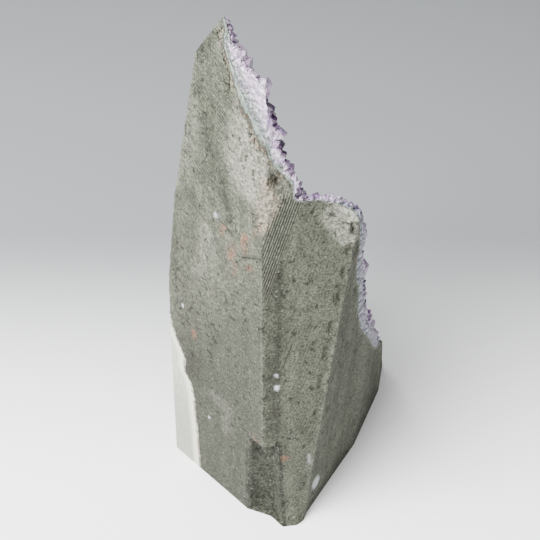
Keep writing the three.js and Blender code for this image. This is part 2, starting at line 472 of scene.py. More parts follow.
def softBox(name, bearing, rise, away, size, power):
    turn, lift = math.radians(bearing), math.radians(rise)
    spot = Vector((math.cos(turn) * math.cos(lift), math.sin(turn) * math.cos(lift), math.sin(lift))) * away
    bpy.ops.object.light_add(type="AREA", location=spot + Vector((0, 0, 0.08)))
    lamp = bpy.context.object
    lamp.name = name
    lamp.data.shape = "DISK"
    lamp.data.size = size
    lamp.data.energy = power
    lamp.rotation_euler = (-spot).to_track_quat("-Z", "Y").to_euler()


softBox("keyLight", 90, 48, 0.9, 0.8, 41)
softBox("topLight", 150, 84, 1.5, 1.5, 24)
world = bpy.data.worlds.new("paleRoom")
bpy.context.scene.world = world
world.use_nodes = True
world.node_tree.nodes["Background"].inputs["Color"].default_value = hexColour("#e9ebee")
world.node_tree.nodes["Background"].inputs["Strength"].default_value = 0.13

bpy.ops.mesh.primitive_plane_add(size=8)
floor = bpy.context.object
floor.name = "floor"
floorLook, tree, shader = newMaterial("matt white paper floor")
floorPlace = addNode(tree, "TexCoord").outputs["Object"]
# the white paper is painted darker beyond the stone, painted shade where the light falls off, so its far end
# fades to grey
towardEye = howFar(tree, floorPlace, (-0.825, 0.566, 0))
floorShadeRamp = addNode(tree, "ValToRGB", {"Fac": band(tree, towardEye, -0.13, 0.05)})
floorShadeRamp.color_ramp.interpolation = "EASE"
floorShadeRamp.color_ramp.elements[0].color = hexColour("#808385")
floorShadeRamp.color_ramp.elements[1].color = hexColour("#fdfefd")
tree.links.new(floorShadeRamp.outputs[0], shader.inputs["Base Color"])
shader.inputs["Roughness"].default_value = 0.85
shader.inputs["Specular IOR Level"].default_value = 0.2
floor.data.materials.append(floorLook)
print("stage ready")

# white agate: the solid's own shape, remeshed fine enough to carry its painted border
agate = {"depth": 7, "scale": 0.92}
agatePiece = cadCopy("agate_patch", "agatePatch")
applyModifier(agatePiece, "REMESH", mode="SHARP", octree_depth=agate["depth"], scale=agate["scale"],
              use_remove_disconnected=False)
print("agate patch", triangles(agatePiece))

# the basalt: block, hollow, broken flakes, then the room of the agate
basalt = {"depth": 8, "scale": 0.86}
block = sawnBlock("block")
basaltPiece = sawnBlock("basaltMatrix")
cutWith(basaltPiece, layerBetween("rock", farBelow, rockHeight), "INTERSECT")
for name, flake in flakes.items():
    cutWith(basaltPiece, flakeRoom(name, flake), "DIFFERENCE")
cutWith(basaltPiece, cadCopy("agate_patch", "agateRoom"), "DIFFERENCE")
print("basalt cut", triangles(basaltPiece))
applyModifier(basaltPiece, "REMESH", mode="SHARP", octree_depth=basalt["depth"], scale=basalt["scale"],
              use_remove_disconnected=True)
print("basalt remeshed", triangles(basaltPiece))

# relief of the basalt in mm, all pushed inward but for the foot's lip
relief = {
    "sawn": 0.1, "broken": 1.0, "sandy": 0.4, "wear": 0.3, "edge": 1.3, "flake": 1.9, "lip": 3.3,
    # each dent: start, end, how far it reaches, how deep
    "dents": [
        ((-42.6, 37.6, 152), (-42.4, 37.6, 146.8), 2.2, 3.4),
        ((-43.0, 36.4, 145.6), (-44.4, 33.3, 143.6), 4.0, 1.7),
        ((-52.4, 16.5, 130.2), (-52.3, 16.4, 127.8), 1.5, 1.7),
        ((-52.0, 17.2, 123), (-51.8, 17.6, 121), 1.1, 0.9),
        ((-51.4, 18.4, 114), (-51.3, 18.6, 112), 1.1, 0.8),
        ((-50.7, 19.8, 104), (-50.6, 20, 102), 1.2, 0.9),
        ((-50.0, 21.2, 93), (-49.9, 21.5, 90), 1.2, 1.0),
        ((-49.5, 22.4, 83), (-49.4, 22.7, 79), 1.3, 1.1),
        ((-49.0, 23.4, 71), (-48.8, 23.8, 66), 1.1, 0.8),
        ((-48.4, 24.6, 55), (-48.3, 24.9, 53), 1.0, 0.7),
        ((-19.9, 43.9, 125.2), (-28.3, 43.0, 121.7), 0.9, 0.5),
        ((-30.7, 42.9, 116.0), (-41.9, 41.1, 121.2), 0.8, 0.45),
        ((-41.3, 41.0, 62), (-41.3, 40.9, 57), 1.0, 0.5),
        ((-41.4, 40.9, 96), (-41.4, 40.9, 92), 0.9, 0.5),
    ],
}
# coloured marks on the basalt, each stroke: start, end, how far it reaches, how strong
marks = {
    "rust": [
        ((-33.3, 42.3, 124.4), (-32.9, 42.4, 120.5), 1.8, 1),
        ((-38.5, 41.4, 131), (-37.8, 41.4, 128.5), 1.5, 0.9),
        ((-28.0, 43.3, 118.5), (-25.7, 43.7, 114.0), 2.0, 0.8),
        ((-35.9, 42.0, 114.8), (-34.5, 42.2, 114), 1.2, 0.8),
        ((-28.7, 43.2, 111.9), (-27.5, 43.4, 109), 1.2, 0.8),
        ((-23.2, 43.6, 123.4), (-22, 43.8, 121), 1.0, 0.6),
        ((-6.4, 46.7, 70.6), (-6.4, 46.7, 68.4), 1.0, 1),
        ((-44.0, 33.8, 33.6), (-43.6, 34.6, 33.2), 1.1, 0.9),
        ((-35.9, 40.8, 158.9), (-38.8, 40.5, 156.6), 0.9, 0.8),
        ((-37.0, 41.6, 40.5), (-35.6, 41.9, 42.5), 0.9, 0.6),
    ],
    "white": [
        ((-45.2, 21.5, 13.8), (-44.7, 20.4, 11.6), 2.7, 0.55),
        ((-42.5, 37.0, 68.2), (-42.5, 37.0, 67.4), 0.6, 1),
        ((-42.5, 37.2, 73.4), (-42.5, 37.2, 73.2), 0.3, 0.8),
        ((-1.3, 47.5, 79.5), (-1.3, 47.5, 78.9), 0.3, 0.9),
        ((-12.3, 45.8, 33.4), (-12.3, 45.8, 33.2), 0.25, 0.9),
        ((-19.4, 43.9, 126.2), (-19.6, 43.9, 125.4), 0.3, 0.8),
        ((-47.5, 26.7, 33.6), (-47.6, 26.4, 29.3), 0.2, 0.35),
    ],
    "dustAndPaintedLight": [
        # the first, wide stroke over the upper back face is painted light, where that face turns up to the
        # lamp; the others are dust
        ((-47.0, 40.2, 180), (-36, 41.9, 150), 15, 0.5),
        ((-51.0, 19.0, 137), (-52.4, 16.3, 131), 3.6, 1.0),
        ((-49.8, 21.5, 134), (-51.6, 18, 127), 5.0, 0.6),
        ((-14.4, 44.9, 117), (-10.2, 45.8, 99), 3.6, 0.2),
        ((-16.3, 45.1, 47.0), (-22.6, 44.1, 44.9), 3.5, 0.14),
        ((-22.6, 44.1, 44.9), (-21.0, 44.4, 33.4), 2.8, 0.12),
        ((-8.0, 45.0, 160.0), (-4.0, 46.5, 130.0), 5.0, 0.12),
    ],
    "dark": [
        # partly painted shade: in the dents and recesses, along the dark strip beside the back edge, and
        # where the low back face turns away; the rest are dark marks
        ((-0.5, 47.4, 102), (-5.5, 46.8, 52), 7.5, 0.95),
        ((-15.1, 43.4, 156.0), (-25.5, 43.1, 128.5), 3.2, 0.75),
        ((-9.5, 46.2, 116.7), (-9.1, 46.3, 97.4), 2.8, 0.55),
        ((-19.9, 43.9, 125.2), (-28.3, 43.0, 121.7), 0.8, 1),
        ((-21.3, 43.3, 137.2), (-28.2, 42.7, 130.3), 0.7, 0.7),
        ((-30.7, 42.9, 116.0), (-41.9, 41.1, 121.2), 0.6, 0.8),
        ((-42.1, 38.6, 116), (-41.6, 39.2, 44), 2.3, 0.8),
        ((-42.4, 37.6, 151.5), (-42.2, 37.8, 146.6), 2.6, 1),
        ((-52.4, 16.5, 130), (-52.3, 16.4, 128), 1.6, 1),
        ((-51.5, 18.2, 115), (-48.4, 24.6, 50), 1.3, 0.45),
        ((-43.1, 35.8, 148.5), (-44.2, 33.6, 146.0), 0.5, 1),
        ((-44.2, 33.6, 146.0), (-45.0, 31.8, 141), 0.5, 1),
        ((-42.6, 37.0, 118), (-42.4, 37.4, 44), 1.6, 1),
        ((-3.6, 47.2, 104), (-3.4, 47.2, 84), 3.0, 0.4),
    ],
}
# each face: the angle of its saw lines, how plain they are, how much painted shade darkens the face
sawLines = {
    "backHigh": (-30, 1.0, 0.0), "backLow": (24, 0.15, 1.15), "side": (72.7, 0.35, 0.35),
    "darkSide": (86, 0.6, 0.6), "darkMiddle": (88, 0.6, 0.6), "darkFront": (90, 0.6, 0.6),
    "shoulderFlake": (72.7, 0.2, 0.0), "footFlake": (60, 0.0, 0.6), "flankLow": (0, 0.0, 0.3),
}
spots = readPoints(basaltPiece)
out = readNormals(basaltPiece)
kindsOfFace = list(faces) + list(flakes) + ["hollow"]
gaps = [faces[n][2] - (spots - middle) @ facing(faces[n]) for n in faces]
gaps += [f["face"][2] - (spots - middle) @ facing(f["face"]) for f in flakes.values()]
inSlope = onSlope(spots)
belowRock = rockHeight(inSlope[:, 0], inSlope[:, 1]) - inSlope[:, 2]
gaps = np.abs(np.array(gaps + [belowRock]))
# the foot's flake ends at its ledge, the shoulder's at its foot
farOff = 99
gaps[kindsOfFace.index("footFlake")][spots[:, 2] > 42.5] = farOff
gaps[kindsOfFace.index("shoulderFlake")][spots[:, 2] < 99] = farOff
ordered = np.sort(gaps, axis=0)


def onFace(*names):
    return 1 - smooth(np.min([gaps[kindsOfFace.index(n)] for n in names], axis=0), 0.25, 1.1)


def brushed(strokes):
    total = np.zeros(len(spots))
    for start, end, reach, strength in strokes:
        beside = nearLine(spots, start, end)
        total = np.maximum(total, strength * (1 - smooth(beside, reach * 0.5, reach + 0.6)))
    return total


broken = onFace("footFlake", "flankLow", "flankMiddle", "flankHigh", "flankTop", "frontCorner", "hollow")
besideSawn = np.min([gaps[kindsOfFace.index(n)] for n in sawnFaces], axis=0)
broken *= 0.1 + 0.9 * smooth(besideSawn, 0.3, 3.0)
along = {n: alongFace(face) for n, face in faces.items()}
sideSpot = (spots - middle) @ along["side"]
backSpot = (spots - middle) @ along["backHigh"]
grooveStart = np.interp(spots[:, 2], [128, 142], [-18.5, -12.2])
sandyTop = np.interp(sideSpot, [-17, -12.5], [148.5, 139.5])
sandy = smooth(spots[:, 2], 127, 132) * (1 - smooth(spots[:, 2] - sandyTop, -1, 0.5))
sandy *= (1 - smooth(sideSpot - grooveStart, -0.4, 0.8)) * smooth(backSpot, 31.5, 34.5)
coarse = grain(spots, 6.5, 21)
medium = grain(spots, 2.6, 22)
fine = grain(spots, 1.25, 23)
push = relief["sawn"] * (0.5 + 0.5 * coarse + 0.35 * medium)
push = push * (1 - broken) + broken * relief["broken"] * (0.42 + 0.45 * coarse + 0.33 * medium + 0.2 * fine)
push += sandy * relief["sandy"] * (0.5 + medium * 0.4 + fine * 0.5)
edge = 1 - smooth(ordered[1], 0.15, relief["edge"])
betweenCuts = np.sort([gaps[kindsOfFace.index(n)] for n in sawnFaces], axis=0)[1] < 3
worn = np.clip(0.12 + 0.7 * medium + 0.5 * fine, 0, 1)
push += edge * np.where(betweenCuts, 1.0, 0.35) * relief["wear"] * worn
push += onFace("footFlake") * smooth(besideSawn, 0.1, 1.6) * (relief["flake"] + 1.1 * coarse + 0.6 * medium)
for start, end, reach, deep in relief["dents"]:
    push += deep * (1 - smooth(nearLine(spots, start, end), reach * 0.25, reach + 0.5))
standsOnFoot = spots[:, 2] < 0.6
push = np.where(standsOnFoot, 0, np.maximum(push, 0)) * smooth(belowRock, 0.4, 2.5)
lowBox, highBox = np.array(cadLow) / mm, np.array(cadHigh) / mm
# the lip that the saw left at the foot's corner
fromCorner = np.hypot(spots[:, 0] + 46, spots[:, 1] - 33.5)
lip = relief["lip"] * (1 - smooth(fromCorner, 2.5, 8)) * (1 - smooth(spots[:, 2], 1, 9))
moved = spots - out * push[:, None] + lip[:, None] * np.array([-0.9, 0.43, 0])
writePoints(basaltPiece, np.clip(moved, lowBox, highBox))
print("basalt relief done")

grooveEdge = np.interp(spots[:, 2], [100, 105, 120, 140, 146], [-18, -16.6, -13.2, -6.6, -6.0])
groove = onFace("side", "shoulderFlake") * smooth(grooveEdge - sideSpot, -0.4, 0.8)
groove *= smooth(spots[:, 2], 100, 112)
groove *= (1 - smooth(spots[:, 2], 141, 145)) * smooth(sideSpot - grooveStart, -0.5, 0.5)
paint(basaltPiece, "groove", groove)
paint(basaltPiece, "sandy", sandy)
paint(basaltPiece, "broken", np.maximum(broken, sandy * 0.4))
# the foot's chip, painted dark for fresh rock and for the shade under its ledge
paint(basaltPiece, "freshAndShaded", onFace("footFlake") * (spots[:, 2] < 42))
paint(basaltPiece, "cream", (1 - smooth(belowRock + 0.9 * fine + 0.6 * medium, -0.6, 0.25)) * 0.3)
paint(basaltPiece, "edge", edge * betweenCuts * np.clip(0.4 + fine, 0, 1))
for number, name in ((1, "lines"), (2, "paintedShade")):
    amounts = [sawLines.get(n, (0, 0, 0.4))[number] for n in kindsOfFace]
    share = 1 / (gaps + 0.4) ** 3
    amount = (share * np.array(amounts)[:, None]).sum(axis=0) / share.sum(axis=0)
    if name == "paintedShade":
        # painted shade: darker towards the foot, but for the dark cuts
        amount += 0.35 * (1 - smooth(spots[:, 2], 15, 125)) * (1 - onFace(*darkCuts))
    paint(basaltPiece, name, amount)
for name, strokes in marks.items():
    paint(basaltPiece, name, brushed(strokes))


# the map of saw marks is in tenths of a metre, and each face lies that many mm aside from the last
sawMarks = {"unit": 100, "step": 31}


def onSawMap(places, level, name):
    # first axis across the saw lines, second along them
    turn = math.radians(sawLines.get(name, (0,))[0])
    across, rise = (places - middle) @ level, places[..., 2]
    aside = kindsOfFace.index(name) * sawMarks["step"]
    return np.stack([-across * math.sin(turn) + rise * math.cos(turn) + aside,
                     across * math.cos(turn) + rise * math.sin(turn)], axis=-1) / sawMarks["unit"]


def layMarks(piece, pieceSpots, faceGaps):
    # each polygon takes its nearest face's part of the map
    mesh = piece.data
    corners = np.empty(len(mesh.loops), np.int32)
    mesh.loops.foreach_get("vertex_index", corners)
    sizes = np.empty(len(mesh.polygons), np.int32)
    mesh.polygons.foreach_get("loop_total", sizes)
    starts = np.concatenate([[0], np.cumsum(sizes)[:-1]])
    total = np.add.reduceat(faceGaps[:, corners], starts, axis=1)
    chosenFace = np.repeat(np.argmin(total, axis=0), sizes)
    places = pieceSpots[corners]
    flat = np.zeros((len(corners), 2))
    for number, name in enumerate(kindsOfFace):
        on = chosenFace == number
        face = faces.get(name) or (flakes[name]["face"] if name in flakes else (-90, 0, 0))
        flat[on] = onSawMap(places[on], alongFace(face), name)
    layer = mesh.uv_layers.new(name="sawMarks")
    layer.data.foreach_set("uv", flat.astype(np.float32).ravel())


layMarks(basaltPiece, spots, gaps)
print("basalt painted")

# the dark rind between the basalt and the quartz
druse = druseRoom("druse")
rindPiece = layerBetween("celadoniteRind", rindFoot, rindHeight)
cutWith(rindPiece, block, "INTERSECT", keep=True)
cutWith(rindPiece, druse, "INTERSECT", keep=True)
print("rind", triangles(rindPiece))

# quartz points: eight kinds, each a hexagonal prism pointed by six bisects
points = {
    # one kind, in radii but for the slope: how steep its faces are, where they meet, how uneven
    # they are, how deep it is rooted
    "kinds": 8, "slope": 51.8, "apex": 1.75, "uneven": 0.34, "root": 1.9,
    "rimRadius": 1.15, "insideRadius": 2.3, "smallest": 0.5, "largest": 4.0, "largestUnderTip": 2.0,
    "spread": 0.42, "crowding": 0.52, "lean": 24, "tries": 110000, "topMost": 188.6,
    # the large dark ones: where they stand over the opening, then the radius
    "dark": [(-38.1, 191.4, 1.3), (-40.8, 187.0, 1.5), (-42.8, 175.9, 1.9), (-45.0, 165.7, 1.2),
             (-47.6, 128.7, 1.1), (-43.4, 108.9, 1.2), (-41.0, 98.8, 1.8)],
}


def quartzPoint(name):
    bpy.ops.mesh.primitive_cylinder_add(vertices=6, radius=1, depth=points["root"] + 3,
                                        location=(0, 0, (3 - points["root"]) / 2))
    piece = bpy.context.object
    piece.name = name
    bpy.ops.object.transform_apply(location=True, rotation=False, scale=False)
    bpy.ops.object.mode_set(mode="EDIT")
    slope = math.radians(points["slope"])
    for side in range(6):
        # every other face lies lower, so three faces come out larger, as on real quartz
        turn = math.radians(60 * side)
        reach = points["apex"] + (points["uneven"] if side % 2 else 0) + luck.uniform(0, points["uneven"])
        bpy.ops.mesh.select_all(action="SELECT")
        bpy.ops.mesh.bisect(plane_co=(0, 0, reach), use_fill=True, clear_outer=True,
                            plane_no=(math.cos(turn) * math.sin(slope), math.sin(turn) * math.sin(slope),
                                      math.cos(slope)))
    bpy.ops.mesh.select_all(action="SELECT")
    bpy.ops.mesh.remove_doubles(threshold=0.001)
    bpy.ops.mesh.normals_make_consistent(inside=False)
    bpy.ops.object.mode_set(mode="OBJECT")
    return piece


def standing(x, y, lean):
    # the way a crystal grows: mostly off the crust's own surface, a little out of the hollow
    step = 1.8

    def crest(x, y):
        return rockBase(x, y) + bedThickness(x, y) * footFade(x, y)

    out = np.stack([-(crest(x + step, y) - crest(x - step, y)) / (2 * step),
                    -(crest(x, y + step) - crest(x, y - step)) / (2 * step), np.ones_like(x)], axis=-1)
    out = out / np.linalg.norm(out, axis=1)[:, None] * 0.8 + np.array([0, 0, 0.2])
    out[:, :2] += np.tan(np.radians(luck.uniform(-lean, lean, (len(x), 2))))
    return out / np.linalg.norm(out, axis=1)[:, None]


def scatterPoints():
    # loose spots on the bed, the largest crystals placed first and none too close to another
    x = luck.uniform(-58, 58, points["tries"])
    y = luck.uniform(36, 210, points["tries"])
    radius = points["rimRadius"] + (points["insideRadius"] - points["rimRadius"]) * growth(x, y)
    radius = radius * (1 - 0.5 * lowRim(x, y))
    largest = np.interp(y, [160, 172], [points["largest"], points["largestUnderTip"]])
    radius = np.clip(radius * np.exp(luck.normal(0, points["spread"], len(x))), points["smallest"], largest)
    fade = footFade(x, y)
    radius = radius * (0.4 + 0.6 * fade)
    out = standing(x, y, points["lean"])
    base = np.stack([x, y, bedHeight(x, y)], axis=-1)
    for _ in range(4):
        # a crystal that would reach the saw cut stays smaller
        tips = (base + out * radius[:, None] * points["apex"]) @ slopeAxes.T + slopeStart
        over = (depthBehind(list(faces), tips) < 0.1) | (tips[:, 2] > points["topMost"])
        over |= depthBehind(sawnFaces, base @ slopeAxes.T + slopeStart) < 0.45 * radius
        over |= y > np.interp(x, *druseTop) - 0.1 * radius
        radius[over] *= 0.75
    keep = (fade > 0.22) & ~over & (radius > 0.45)
    spots = np.column_stack([base, out, radius])[keep]
    x, y, radius = np.array(points["dark"]).T
    chosen = np.column_stack([x, y, bedHeight(x, y), standing(x, y, 4), radius])
    for spot in spots[np.argsort(-spots[:, 6])]:
        apart = np.hypot(chosen[:, 0] - spot[0], chosen[:, 1] - spot[1])
        if np.all(apart > points["crowding"] * (chosen[:, 6] + spot[6])):
            chosen = np.vstack([chosen, spot])
    return chosen


crustPiece = layerBetween("amethystCrust", crustFoot, bedHeight)
cutWith(crustPiece, druse, "INTERSECT")
kinds = [quartzPoint("quartzKind") for _ in range(points["kinds"])]
chosen = scatterPoints()
grown = bpy.data.collections.new("quartzPoints")
bpy.context.scene.collection.children.link(grown)
for x, y, z, *rest in chosen.tolist():
    radius = rest[3]
    turn = Matrix.Rotation(luck.uniform(0, 2 * math.pi), 4, "Z")
    stand = Vector(rest[:3]).to_track_quat("Z", "Y").to_matrix().to_4x4() @ turn
    wide = radius * mm
    shape = Matrix.Diagonal((wide, wide * luck.uniform(0.8, 1.0), wide * luck.uniform(0.9, 1.1), 1))
    mesh = kinds[luck.integers(len(kinds))].data.copy()
    mesh.transform(toOpening @ Matrix.Translation(Vector((x, y, z - 0.15 * radius)) * mm) @ stand @ shape)
    grown.objects.link(bpy.data.objects.new("quartz", mesh))
print("quartz points", len(chosen))
applyModifier(crustPiece, "BOOLEAN", operation="UNION", solver="MANIFOLD", operand_type="COLLECTION",
              collection=grown)
print("crust joined", triangles(crustPiece))
for piece in list(grown.objects) + kinds:
    bpy.data.objects.remove(piece)
bpy.data.collections.remove(grown)
# what the crystals' roots reach below the crust is cut off again
cutWith(crustPiece, layerBetween("underRind", farBelow, crustFoot), "DIFFERENCE")
cutWith(crustPiece, block, "INTERSECT")
print("crust cut", triangles(crustPiece))

for piece in (rindPiece, crustPiece, agatePiece):
    writePoints(piece, np.clip(readPoints(piece), lowBox, highBox))

# rind: painted by its share of the way from rock to quartz
spots = readPoints(rindPiece)
inSlope = onSlope(spots)
lower = rindFoot(inSlope[:, 0], inSlope[:, 1])
upper = rindHeight(inSlope[:, 0], inSlope[:, 1])
paint(rindPiece, "layer", np.clip((inSlope[:, 2] - lower) / (upper - lower), 0, 1))

# crust: painted by how far each corner stands over the bed, and by its depth in the bed
spots = readPoints(crustPiece)
inSlope = onSlope(spots)
x, y = inSlope[:, 0], inSlope[:, 1]
size = growth(x, y)
overBed = (inSlope[:, 2] - bedHeight(x, y)) / (1.7 + 1.9 * size - 0.5 * lowRim(x, y))
paint(crustPiece, "tip", smooth(overBed - 0.22 * lowRim(x, y), -0.1, 1.0))
paleOver = np.clip(bedThickness(x, y) * 1.3, 0.8, 2.6)
paint(crustPiece, "bed", np.clip((inSlope[:, 2] - rindHeight(x, y)) / paleOver, 0, 1))
# painted shade on the crust beside the dark cuts, which face away from the lamps
paint(crustPiece, "paintedShade", 1 - smooth(depthBehind(darkCuts, spots), 2, 9))
darkX, darkY, darkRadius = np.array(points["dark"]).T
fromDark = (np.hypot(x[:, None] - darkX, y[:, None] - darkY) / darkRadius).min(axis=1)
paint(crustPiece, "deep", 1 - smooth(fromDark, 1.1, 1.7))
print("crust painted")

# basalt, cut with a coarse diamond saw: dull, with pits of old gas bubbles and faint parallel lines
basaltColours = {
    "grey": "#5e6353", "olive": "#535847", "pit": "#12120d", "light": "#a3a494", "rust": "#80533e",
    "dustAndPaintedLight": "#c2c1b3", "freshAndShaded": "#20211b", "sandy": "#9c8f7f", "white": "#ccd1d7", "dark": "#33342b",
}
basaltLook, tree, shader = newMaterial("sawn basalt")
place = addNode(tree, "TexCoord").outputs["Object"]
sawMap = addNode(tree, "UVMap", uv_map="sawMarks").outputs["UV"]


def speckle(tree, vector, size, detail=3.0, rough=0.6, scale=(1, 1, 1)):
    # noise whose lumps are about that many mm, as a number round 0.5
    turned = addNode(tree, "Mapping", {"Vector": vector, "Scale": scale}).outputs[0]
    return addNode(tree, "TexNoise", {"Vector": turned, "Scale": 1000 / size, "Detail": detail,
                                      "Roughness": rough}).outputs["Fac"]


waveAtOneMm = 31.4     # the wave texture's scale for lines 1 mm apart on the map
# loose streaks along the saw lines, then the grooves, then the saw lines themselves
sawLine = addNode(tree, "TexNoise", {
    "Vector": addNode(tree, "Mapping", {"Vector": sawMap, "Scale": (100 / 0.55, 100 / 24, 1)}).outputs[0],
    "Scale": 1.0, "Detail": 2.0, "Roughness": 0.55}, noise_dimensions="2D").outputs["Fac"]
grooveLine = addNode(tree, "TexWave", {
    "Vector": addNode(tree, "Mapping", {"Vector": sawMap, "Scale": (1, 0.05, 1)}).outputs[0],
    "Scale": waveAtOneMm / 0.74, "Distortion": 0.9, "Detail": 2.0, "Detail Scale": 3.0},
    wave_type="BANDS", bands_direction="X").outputs["Fac"]
mottle = speckle(tree, place, 15, 4)
grainSmall = speckle(tree, place, 0.75, 3, 0.85)
grainWide = speckle(tree, place, 1.6, 3, 0.75)
pits = band(tree, speckle(tree, place, 2.1, 3, 0.5), 0.615, 0.66)
lights = band(tree, speckle(tree, place, 1.0, 3, 0.65, (1, 1, 1.2)), 0.58, 0.70)
clouds = speckle(tree, place, 6, 4, 0.65)
streaks = addNode(tree, "TexNoise", {
    "Vector": addNode(tree, "Mapping", {"Vector": place, "Scale": (320, 320, 38)}).outputs[0],
    "Scale": 1.0, "Detail": 3.0}).outputs["Fac"]
broken = readPaint(tree, "broken")
groove = times(tree, readPaint(tree, "groove"), band(tree, grooveLine, 0.25, 0.75))
sawWave = addNode(tree, "TexWave", {
    "Vector": sawMap, "Scale": waveAtOneMm / 1.05, "Distortion": 0.8, "Detail": 2.0, "Detail Scale": 1.5},
    wave_type="BANDS", bands_direction="X").outputs["Fac"]
lineShare = times(tree, band(tree, sawWave, 0.2, 0.7, 0.7, 0.0), band(tree, clouds, 0.40, 0.58, 1.0, 0.35))
lineShare = reckon(tree, "MAXIMUM", lineShare, band(tree, sawLine, 0.36, 0.56, 0.42, 0.0))
lineShare = times(tree, readPaint(tree, "lines"), lineShare)

# single deep scratches: face, the two ends, how wide in mm
scratches = [
    ("backHigh", (-19.9, 43.9, 125.2), (-28.3, 43.0, 121.7), 0.34),
    ("backHigh", (-21.4, 43.3, 137.3), (-28.2, 42.7, 130.3), 0.2),
    ("backHigh", (-17.2, 44.1, 136.3), (-27.7, 42.8, 130.1), 0.18),
    ("backHigh", (-36.4, 41.8, 130.5), (-41.2, 41.2, 132.9), 0.2),
    ("backLow", (-30.7, 42.9, 116.0), (-41.0, 41.1, 120.8), 0.26),
]
scratched = 0.0
for name, start, end, width in scratches:
    first = onSawMap(np.array(start), along[name], name)
    last = onSawMap(np.array(end), along[name], name)
    run = (last - first) / np.linalg.norm(last - first)
    offset = addNode(tree, "VectorMath", {0: sawMap, 1: (*first, 0)}, operation="SUBTRACT").outputs[0]
    ahead = howFar(tree, offset, (*run, 0))
    aside = reckon(tree, "ABSOLUTE", howFar(tree, offset, (-run[1], run[0], 0)))
    length = float(np.linalg.norm(last - first))
    inside = times(tree, band(tree, ahead, 0.0, 0.008), band(tree, ahead, length, length - 0.02))
    line = times(tree, band(tree, aside, width / 100, width / 250), inside)
    scratched = reckon(tree, "MAXIMUM", scratched, line)


def tint(share, name):
    global colour
    colour = cover(tree, colour, share, basaltColours[name])


def marked(name, texture, low, high, lowOut=0.0, highOut=1.0):
    return times(tree, readPaint(tree, name), band(tree, texture, low, high, lowOut, highOut))


colour = hexColour(basaltColours["grey"])
tint(band(tree, mottle, 0.35, 0.65), "olive")
tint(band(tree, streaks, 0.30, 0.70, 0.0, 0.30), "light")
tint(band(tree, clouds, 0.36, 0.58, 0.30, 0.0), "dark")
tint(lineShare, "dark")
tint(times(tree, lineShare, 0.4), "pit")
# painted shade: faces turned from the lamps, and the foot, painted darker
tint(times(tree, readPaint(tree, "paintedShade"), 0.5), "dark")
# dust, and painted light over the upper back face
tint(marked("dustAndPaintedLight", grainWide, 0.34, 0.60, 0.25, 1.0), "dustAndPaintedLight")
# dark marks, partly painted shade in dents and recesses and where faces turn away
tint(marked("dark", clouds, 0.62, 0.34, 0.45, 0.95), "dark")
tint(marked("sandy", grainWide, 0.38, 0.56, 0.3, 0.9), "sandy")
# the foot's chip painted dark: fresh rock, and painted shade under its ledge
freshAndShaded = band(tree, readPaint(tree, "freshAndShaded"), 0.35, 0.65)
tint(times(tree, freshAndShaded, band(tree, grainWide, 0.40, 0.60, 0.95, 0.35)), "freshAndShaded")
tint(marked("cream", clouds, 0.36, 0.6, 0.2, 0.9), "dustAndPaintedLight")
tint(marked("rust", clouds, 0.42, 0.58), "rust")
tint(times(tree, readPaint(tree, "edge"), 0.25), "light")
tint(times(tree, lights, 0.40), "light")
tint(band(tree, grainWide, 0.30, 0.52, 0.22, 0.0), "pit")
tint(times(tree, pits, 0.7), "pit")
tint(times(tree, scratched, 0.6), "pit")
# painted highlight on the strips between the grooves, and painted shade in the grooves
litBetweenGrooves = reckon(tree, "SUBTRACT", readPaint(tree, "groove"), groove)
tint(times(tree, litBetweenGrooves, 0.22), "light")
tint(times(tree, groove, 0.66), "pit")
tint(band(tree, grainSmall, 0.40, 0.58, 0.68, 0.0), "pit")
tint(marked("white", grainSmall, 0.30, 0.5, 0.5, 1), "white")
bumps = [(grainWide, 0.12), (pits, -0.20), (lineShare, -0.22), (groove, -0.40), (scratched, -0.40),
         (times(tree, broken, clouds), 0.9)]
height = times(tree, grainSmall, 0.42)
for part, amount in bumps:
    height = reckon(tree, "MULTIPLY_ADD", part, amount, height)
bump = addNode(tree, "Bump", {"Height": height, "Strength": 0.9, "Distance": 0.001})
tree.links.new(colour, shader.inputs["Base Color"])
tree.links.new(bump.outputs[0], shader.inputs["Normal"])
shader.inputs["Roughness"].default_value = 0.88
shader.inputs["Specular IOR Level"].default_value = 0.3

# celadonite and old clay on the rind: cream next to the rock, a brown line, then grey green
rindLook, tree, shader = newMaterial("celadonite rind, rough")
place = addNode(tree, "TexCoord").outputs["Object"]
clouds = speckle(tree, place, 1.3, 4, 0.7)
layer = reckon(tree, "ADD", readPaint(tree, "layer"), band(tree, clouds, 0.42, 0.56, -0.04, 0.26))
ramp = addNode(tree, "ValToRGB", {"Fac": layer})
stops = ramp.color_ramp.elements
rindStops = [(0.0, "#63675a"), (0.05, "#8c846e"), (0.11, "#948a73"), (0.18, "#352b1f"), (0.50, "#3a3226"),
             (0.62, "#5d6860")]
for position, code in rindStops:
    stop = stops[0] if position == 0.0 else stops.new(position)
    stop.position = position
    stop.color = hexColour(code)
stops[-1].position = 1.0
stops[-1].color = hexColour("#8c988e")
darkSpecks = band(tree, speckle(tree, place, 0.9, 3, 0.7), 0.38, 0.58, 0.6, 0.0)
rindColour = cover(tree, ramp.outputs[0], darkSpecks, "#343a33")
bump = addNode(tree, "Bump", {"Height": clouds, "Strength": 0.7, "Distance": 0.0008})
tree.links.new(rindColour, shader.inputs["Base Color"])
tree.links.new(bump.outputs[0], shader.inputs["Normal"])
shader.inputs["Roughness"].default_value = 0.8

